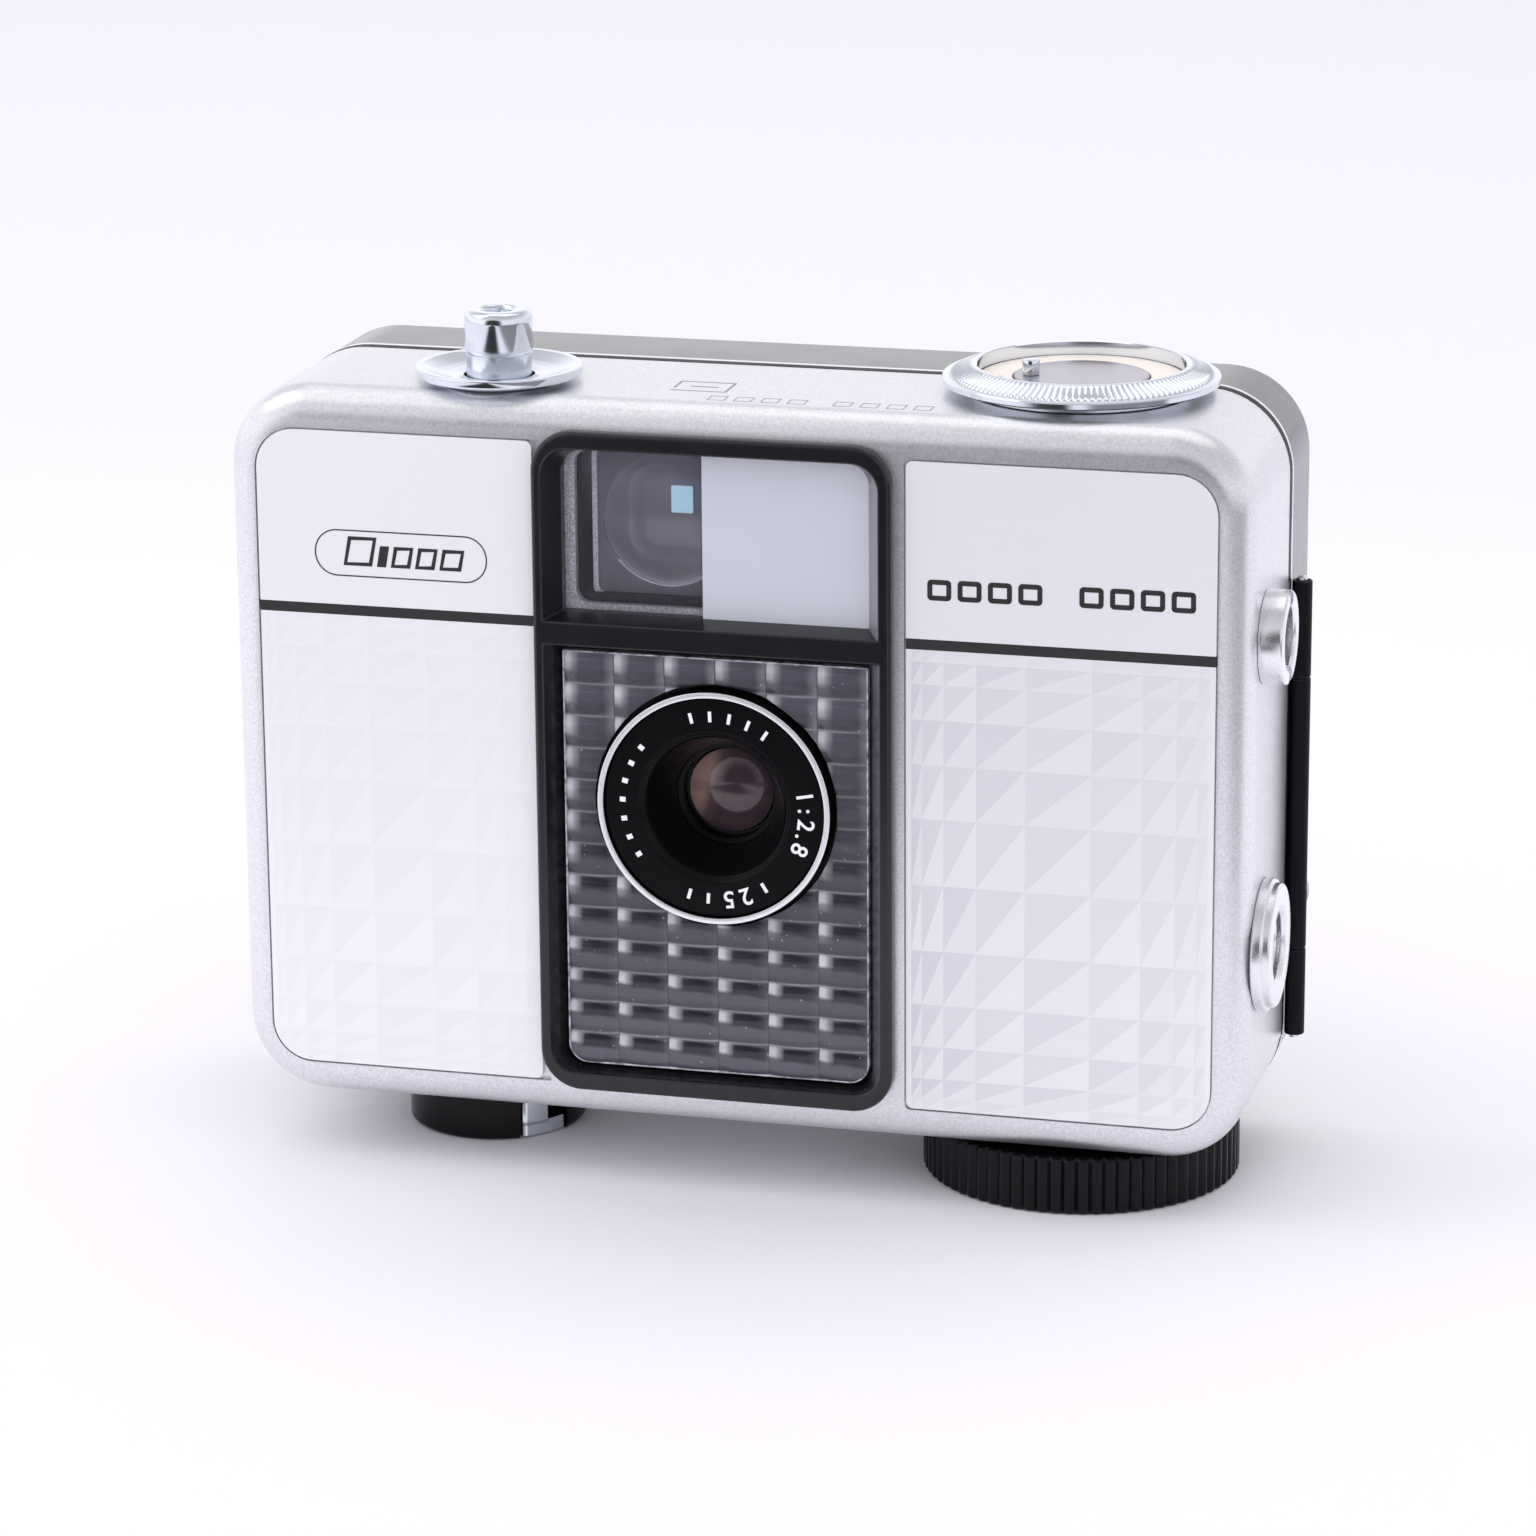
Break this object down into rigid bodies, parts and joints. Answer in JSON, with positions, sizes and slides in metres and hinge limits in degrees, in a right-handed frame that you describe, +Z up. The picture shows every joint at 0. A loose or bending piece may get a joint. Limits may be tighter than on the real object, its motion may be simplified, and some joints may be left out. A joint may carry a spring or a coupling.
{
  "type": "half frame camera",
  "caption": "Clockwork half frame camera: silver shell, engraved face plates, black window frame with lens and meter grid, top dial and button, hinged back, knobs underneath.",
  "frame": {"origin": "on the table under the middle of the camera's overall box", "axes": "+Z up; the lens looks along -Y; +X is the viewer's right when facing the lens"},
  "size_m": [0.0912, 0.0306, 0.0733],
  "materials": {
    "satin_shell": "satin",
    "brushed_plate": "fine brushed, engraved pattern",
    "chrome": "polished",
    "steel": "satin",
    "brass": "satin",
    "gloss_black": "gloss",
    "satin_black": "satin",
    "leather": "grained",
    "clear": "clear",
    "opal": "translucent",
    "selenium": "semi-gloss",
    "coated_glass": "coated",
    "cream": "matt enamel",
    "dial_grey": "anodised"
  },
  "bodies": {
    "camera_body": {"front_shell": "satin_shell", "left_face_plate": "brushed_plate", "right_face_plate": "brushed_plate", "window_frame": "gloss_black", "finder_front_glass": "clear", "bright_line_window": "opal", "meter_lens_grid": "clear", "selenium_cell": "selenium", "lens_trim_ring": "chrome", "lens_face_ring": "gloss_black", "front_lens_cell": "satin_black", "front_lens_element": "coated_glass", "middle_lens_element": "clear", "shutter_housing": "steel", "rear_lens_cell": "satin_black", "rear_lens_element": "clear", "finder_tunnel": "satin_black", "finder_front_lens": "clear", "meter_coil_case": "steel", "button_collar": "chrome", "button_spring": "steel", "pc_socket_shell": "chrome", "pc_socket_insulator": "satin_black", "pc_socket_contact": "brass", "tripod_bush": "chrome", "counter_window": "clear", "film_chassis": "satin_black", "chassis_screw_1": "steel", "chassis_screw_2": "steel", "hinge_body_leaf": "satin_black", "hinge_pin": "chrome"},
    "release_button": {"shutter_button": "chrome"},
    "exposure_ring": {"exposure_dial": "chrome", "dial_scale_plate": "cream"},
    "film_speed_selector": {"film_speed_disc": "dial_grey", "film_speed_pin": "chrome"},
    "winder": {"winding_knob": "gloss_black", "winding_knob_screw": "chrome", "winding_arbor": "steel"},
    "take_up": {"take_up_spool": "satin_black", "mainspring": "steel"},
    "sprocket": {"film_sprocket": "chrome"},
    "counter": {"frame_counter_disc": "satin_black"},
    "rewinder": {"rewind_knob": "gloss_black", "rewind_shaft": "steel", "rewind_crank_pin": "steel"},
    "crank": {"rewind_crank": "steel"},
    "door": {"back_door": "satin_black", "back_covering": "leather", "eyepiece_frame": "satin_black", "eyepiece_lens": "clear", "door_stud": "steel", "hinge_door_leaf": "satin_black", "pressure_spring": "steel"},
    "film_presser": {"pressure_plate": "satin_black"},
    "latch": {"latch_slider": "chrome"},
    "rewind_release": {"rewind_release_button": "chrome"},
    "blade_left": {"left_shutter_blade": "steel"},
    "blade_right": {"right_shutter_blade": "steel"},
    "needle": {"meter_needle": "brass"}
  },
  "joints": [
    {"name": "release_press", "type": "slide", "parent": "camera_body", "child": "release_button", "axis": [0, 0, -1], "range_m": [0, 0.0013], "stiffness_N_per_m": 300, "deforming": ["button_spring"]},
    {"name": "exposure_dial_turn", "type": "hinge", "parent": "camera_body", "child": "exposure_ring", "pos_m": [0.0266, -0.0005, 0.06875], "axis": [0, 0, 1], "range_deg": [0, 240]},
    {"name": "film_speed_turn", "type": "hinge", "parent": "camera_body", "child": "film_speed_selector", "pos_m": [0.0266, -0.0005, 0.06855], "axis": [0, 0, 1], "range_deg": [-75, 75]},
    {"name": "motor_winding", "type": "hinge", "parent": "camera_body", "child": "winder", "pos_m": [0.0271, -0.00055, 0.00245], "axis": [0, 0, -1], "continuous": true},
    {"name": "film_advance", "type": "hinge", "parent": "camera_body", "child": "sprocket", "pos_m": [0.0134, 0.00621, 0.03358], "axis": [0, 0, -1], "continuous": true},
    {"name": "take_up_turn", "type": "hinge", "parent": "camera_body", "child": "take_up", "pos_m": [0.0271, -0.00055, 0.03358], "axis": [0, 0, -1], "continuous": true},
    {"name": "frame_count_turn", "type": "hinge", "parent": "camera_body", "child": "counter", "pos_m": [0.006, -0.00515, 0.00685], "axis": [0, 0, -1], "continuous": true},
    {"name": "rewind_turn", "type": "hinge", "parent": "camera_body", "child": "rewinder", "pos_m": [-0.0251, -0.00025, 0.00245], "axis": [0, 0, -1], "continuous": true},
    {"name": "crank_fold", "type": "hinge", "parent": "rewinder", "child": "crank", "pos_m": [-0.02908, 0.00309, 0.00085], "axis": [0.6428, 0.766, 0], "range_deg": [0, 160]},
    {"name": "door_swing", "type": "hinge", "parent": "camera_body", "child": "door", "pos_m": [0.0444, 0.0046, 0.0309], "axis": [0, 0, -1], "range_deg": [0, 100]},
    {"name": "film_presser_slide", "type": "slide", "parent": "door", "child": "film_presser", "axis": [0, 1, 0], "range_m": [0, 0.0004], "stiffness_N_per_m": 800, "deforming": ["pressure_spring"]},
    {"name": "latch_slide", "type": "slide", "parent": "camera_body", "child": "latch", "axis": [0, 0, 1], "range_m": [0, 0.003]},
    {"name": "rewind_release_press", "type": "slide", "parent": "camera_body", "child": "rewind_release", "axis": [0, 0, 1], "range_m": [0, 0.0008], "stiffness_N_per_m": 300},
    {"name": "shutter_left_open", "type": "hinge", "parent": "camera_body", "child": "blade_left", "pos_m": [-0.00739, -0.00415, 0.03358], "axis": [0, 1, 0], "range_deg": [0, 60]},
    {"name": "shutter_right_open", "type": "hinge", "parent": "camera_body", "child": "blade_right", "pos_m": [0.00501, -0.00355, 0.03358], "axis": [0, 1, 0], "range_deg": [0, 60]},
    {"name": "meter_needle_swing", "type": "hinge", "parent": "camera_body", "child": "needle", "pos_m": [0.0052, -0.00315, 0.06205], "axis": [0, 0, 1], "range_deg": [-25, 25]}
  ],
  "couplings": [
    {"joint": "take_up_turn", "follows": "film_advance", "ratio": 0.64857},
    {"joint": "frame_count_turn", "follows": "film_advance", "ratio": 0.020833},
    {"joint": "shutter_right_open", "follows": "shutter_left_open", "ratio": 1}
  ]
}
